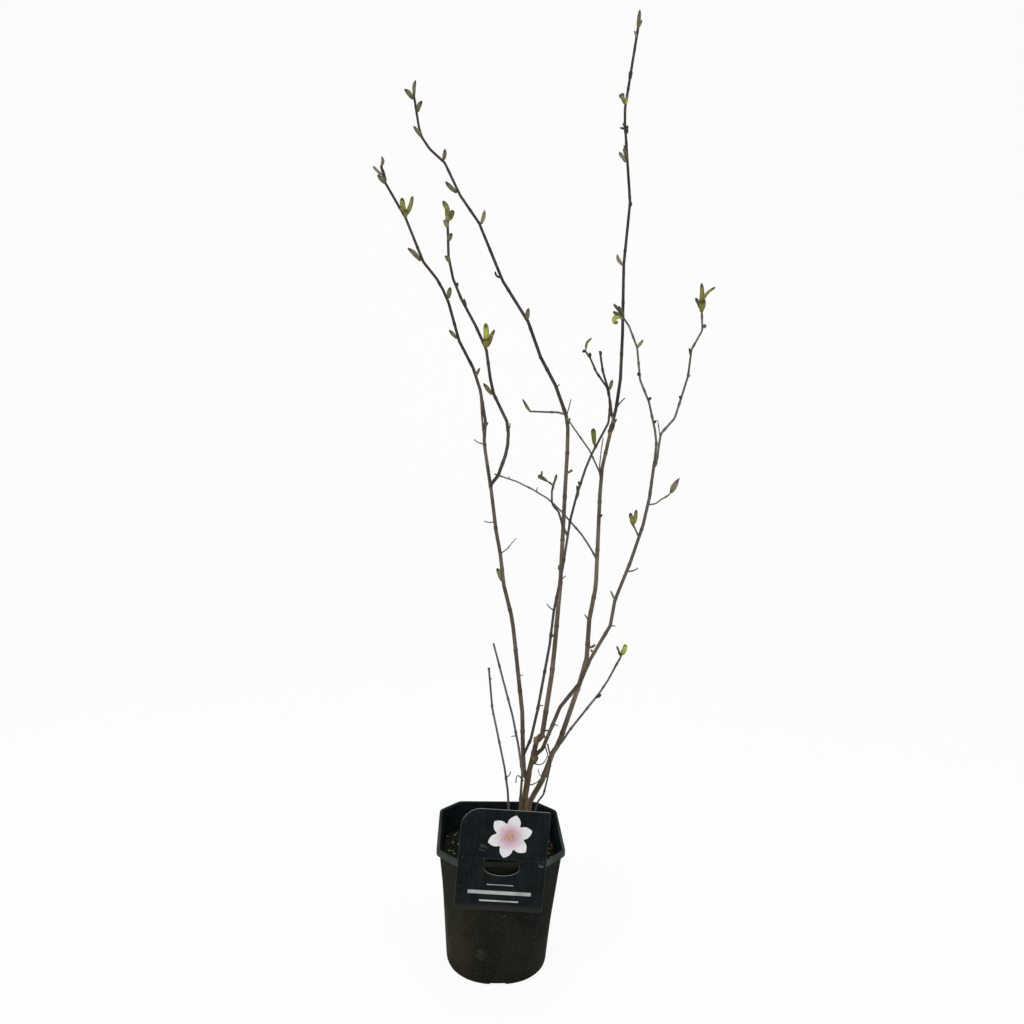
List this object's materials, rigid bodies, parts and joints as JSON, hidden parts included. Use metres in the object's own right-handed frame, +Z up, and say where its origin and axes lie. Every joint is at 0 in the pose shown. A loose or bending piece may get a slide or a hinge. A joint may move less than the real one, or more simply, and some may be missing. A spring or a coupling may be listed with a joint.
{
  "type": "potted magnolia plant",
  "caption": "Young magnolia with several tall slender stems, buds and opening leaves, rooted in a square black nursery pot with a blank-worded care label on the rim.",
  "frame": {"origin": "middle of the pot's flat foot, on the surface it stands on", "axes": "+Z up the plant, -Y towards the side with the care label, +X to the right seen from the label"},
  "size_m": [0.4194, 0.1663, 1.2159],
  "materials": {
    "pot_plastic": "matte",
    "potting_mix": "matte",
    "label_card": "satin",
    "bark_brown": "matte",
    "bark_grey_brown": "matte",
    "bark_dark_twig": "matte",
    "bud_scale": "matte",
    "young_leaf": "satin"
  },
  "bodies": {
    "root": {"arching_shoot": "bark_dark_twig", "care_label": "label_card", "far_left_shoot": "bark_grey_brown", "flower_bud": "bud_scale", "flower_bud_stalk": "bark_grey_brown", "inner_left_stem": "bark_dark_twig", "knee_twig": "bark_dark_twig", "left_stem": "bark_grey_brown", "long_cross_twig": "bark_dark_twig", "low_right_twig": "bark_dark_twig", "middle_stem": "bark_grey_brown", "middle_stem_twig": "bark_dark_twig", "near_left_shoot": "bark_grey_brown", "nursery_pot": "pot_plastic", "potting_mix": "potting_mix", "right_fork_inner": "bark_dark_twig", "right_fork_outer": "bark_dark_twig", "right_stem": "bark_grey_brown", "side_bud_1": "bud_scale", "side_bud_10": "bud_scale", "side_bud_11": "bud_scale", "side_bud_2": "bud_scale", "side_bud_3": "bud_scale", "side_bud_4": "bud_scale", "side_bud_5": "bud_scale", "side_bud_6": "bud_scale", "side_bud_7": "bud_scale", "side_bud_8": "bud_scale", "side_bud_9": "bud_scale", "slim_stem": "bark_grey_brown", "slim_stem_twig": "bark_dark_twig", "tall_stem": "bark_grey_brown", "tall_stem_twig": "bark_dark_twig", "trunk": "bark_brown", "young_leaf_01": "young_leaf", "young_leaf_02": "young_leaf", "young_leaf_03": "young_leaf", "young_leaf_04": "young_leaf", "young_leaf_05": "young_leaf", "young_leaf_06": "young_leaf", "young_leaf_07": "young_leaf", "young_leaf_08": "young_leaf", "young_leaf_09": "young_leaf", "young_leaf_10": "young_leaf", "young_leaf_11": "young_leaf", "young_leaf_12": "young_leaf", "young_leaf_13": "young_leaf", "young_leaf_14": "young_leaf", "young_leaf_15": "young_leaf", "young_leaf_16": "young_leaf", "young_leaf_17": "young_leaf", "young_leaf_18": "young_leaf", "young_leaf_19": "young_leaf", "young_leaf_20": "young_leaf", "young_leaf_21": "young_leaf", "young_leaf_22": "young_leaf", "young_leaf_23": "young_leaf"}
  },
  "joints": []
}
